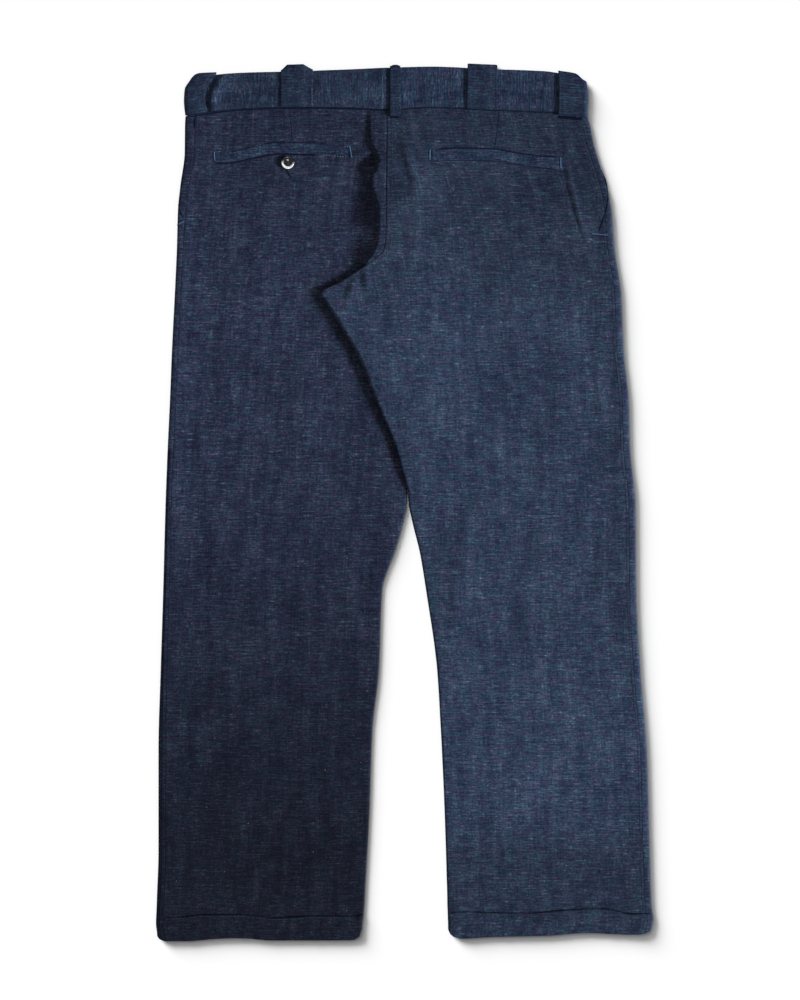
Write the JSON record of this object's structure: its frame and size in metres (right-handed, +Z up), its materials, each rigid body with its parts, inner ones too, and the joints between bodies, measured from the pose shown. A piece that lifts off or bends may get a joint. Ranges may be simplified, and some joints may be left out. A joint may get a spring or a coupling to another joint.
{
  "type": "baker pants",
  "caption": "Straight-leg slubby indigo cloth trousers laid flat, back up, with wide belt loops and welt back pockets; the right leg laps over the left at the crotch.",
  "frame": {"origin": "middle of the footprint, on the surface that the trousers lie on", "axes": "+Y from the hems up to the waist, +Z up out of the back of the trousers, +X towards the wearer's right"},
  "size_m": [0.5461, 0.9659, 0.013],
  "materials": {
    "cloth": "matt plain weave, slubby indigo yarn with pale flecks",
    "band_cloth": "matt plain weave, cut across the grain for the waistband and loops",
    "horn": "polished dark horn look"
  },
  "bodies": {
    "root": {"front_left": "cloth", "front_right": "cloth", "back_left": "cloth", "back_right": "cloth", "waistband": "band_cloth", "loop_side_left": "band_cloth", "loop_back_left": "band_cloth", "loop_centre": "band_cloth", "loop_back_right": "band_cloth", "loop_side_right": "band_cloth", "welt_left": "cloth", "welt_right": "cloth", "button": "horn"}
  },
  "joints": []
}
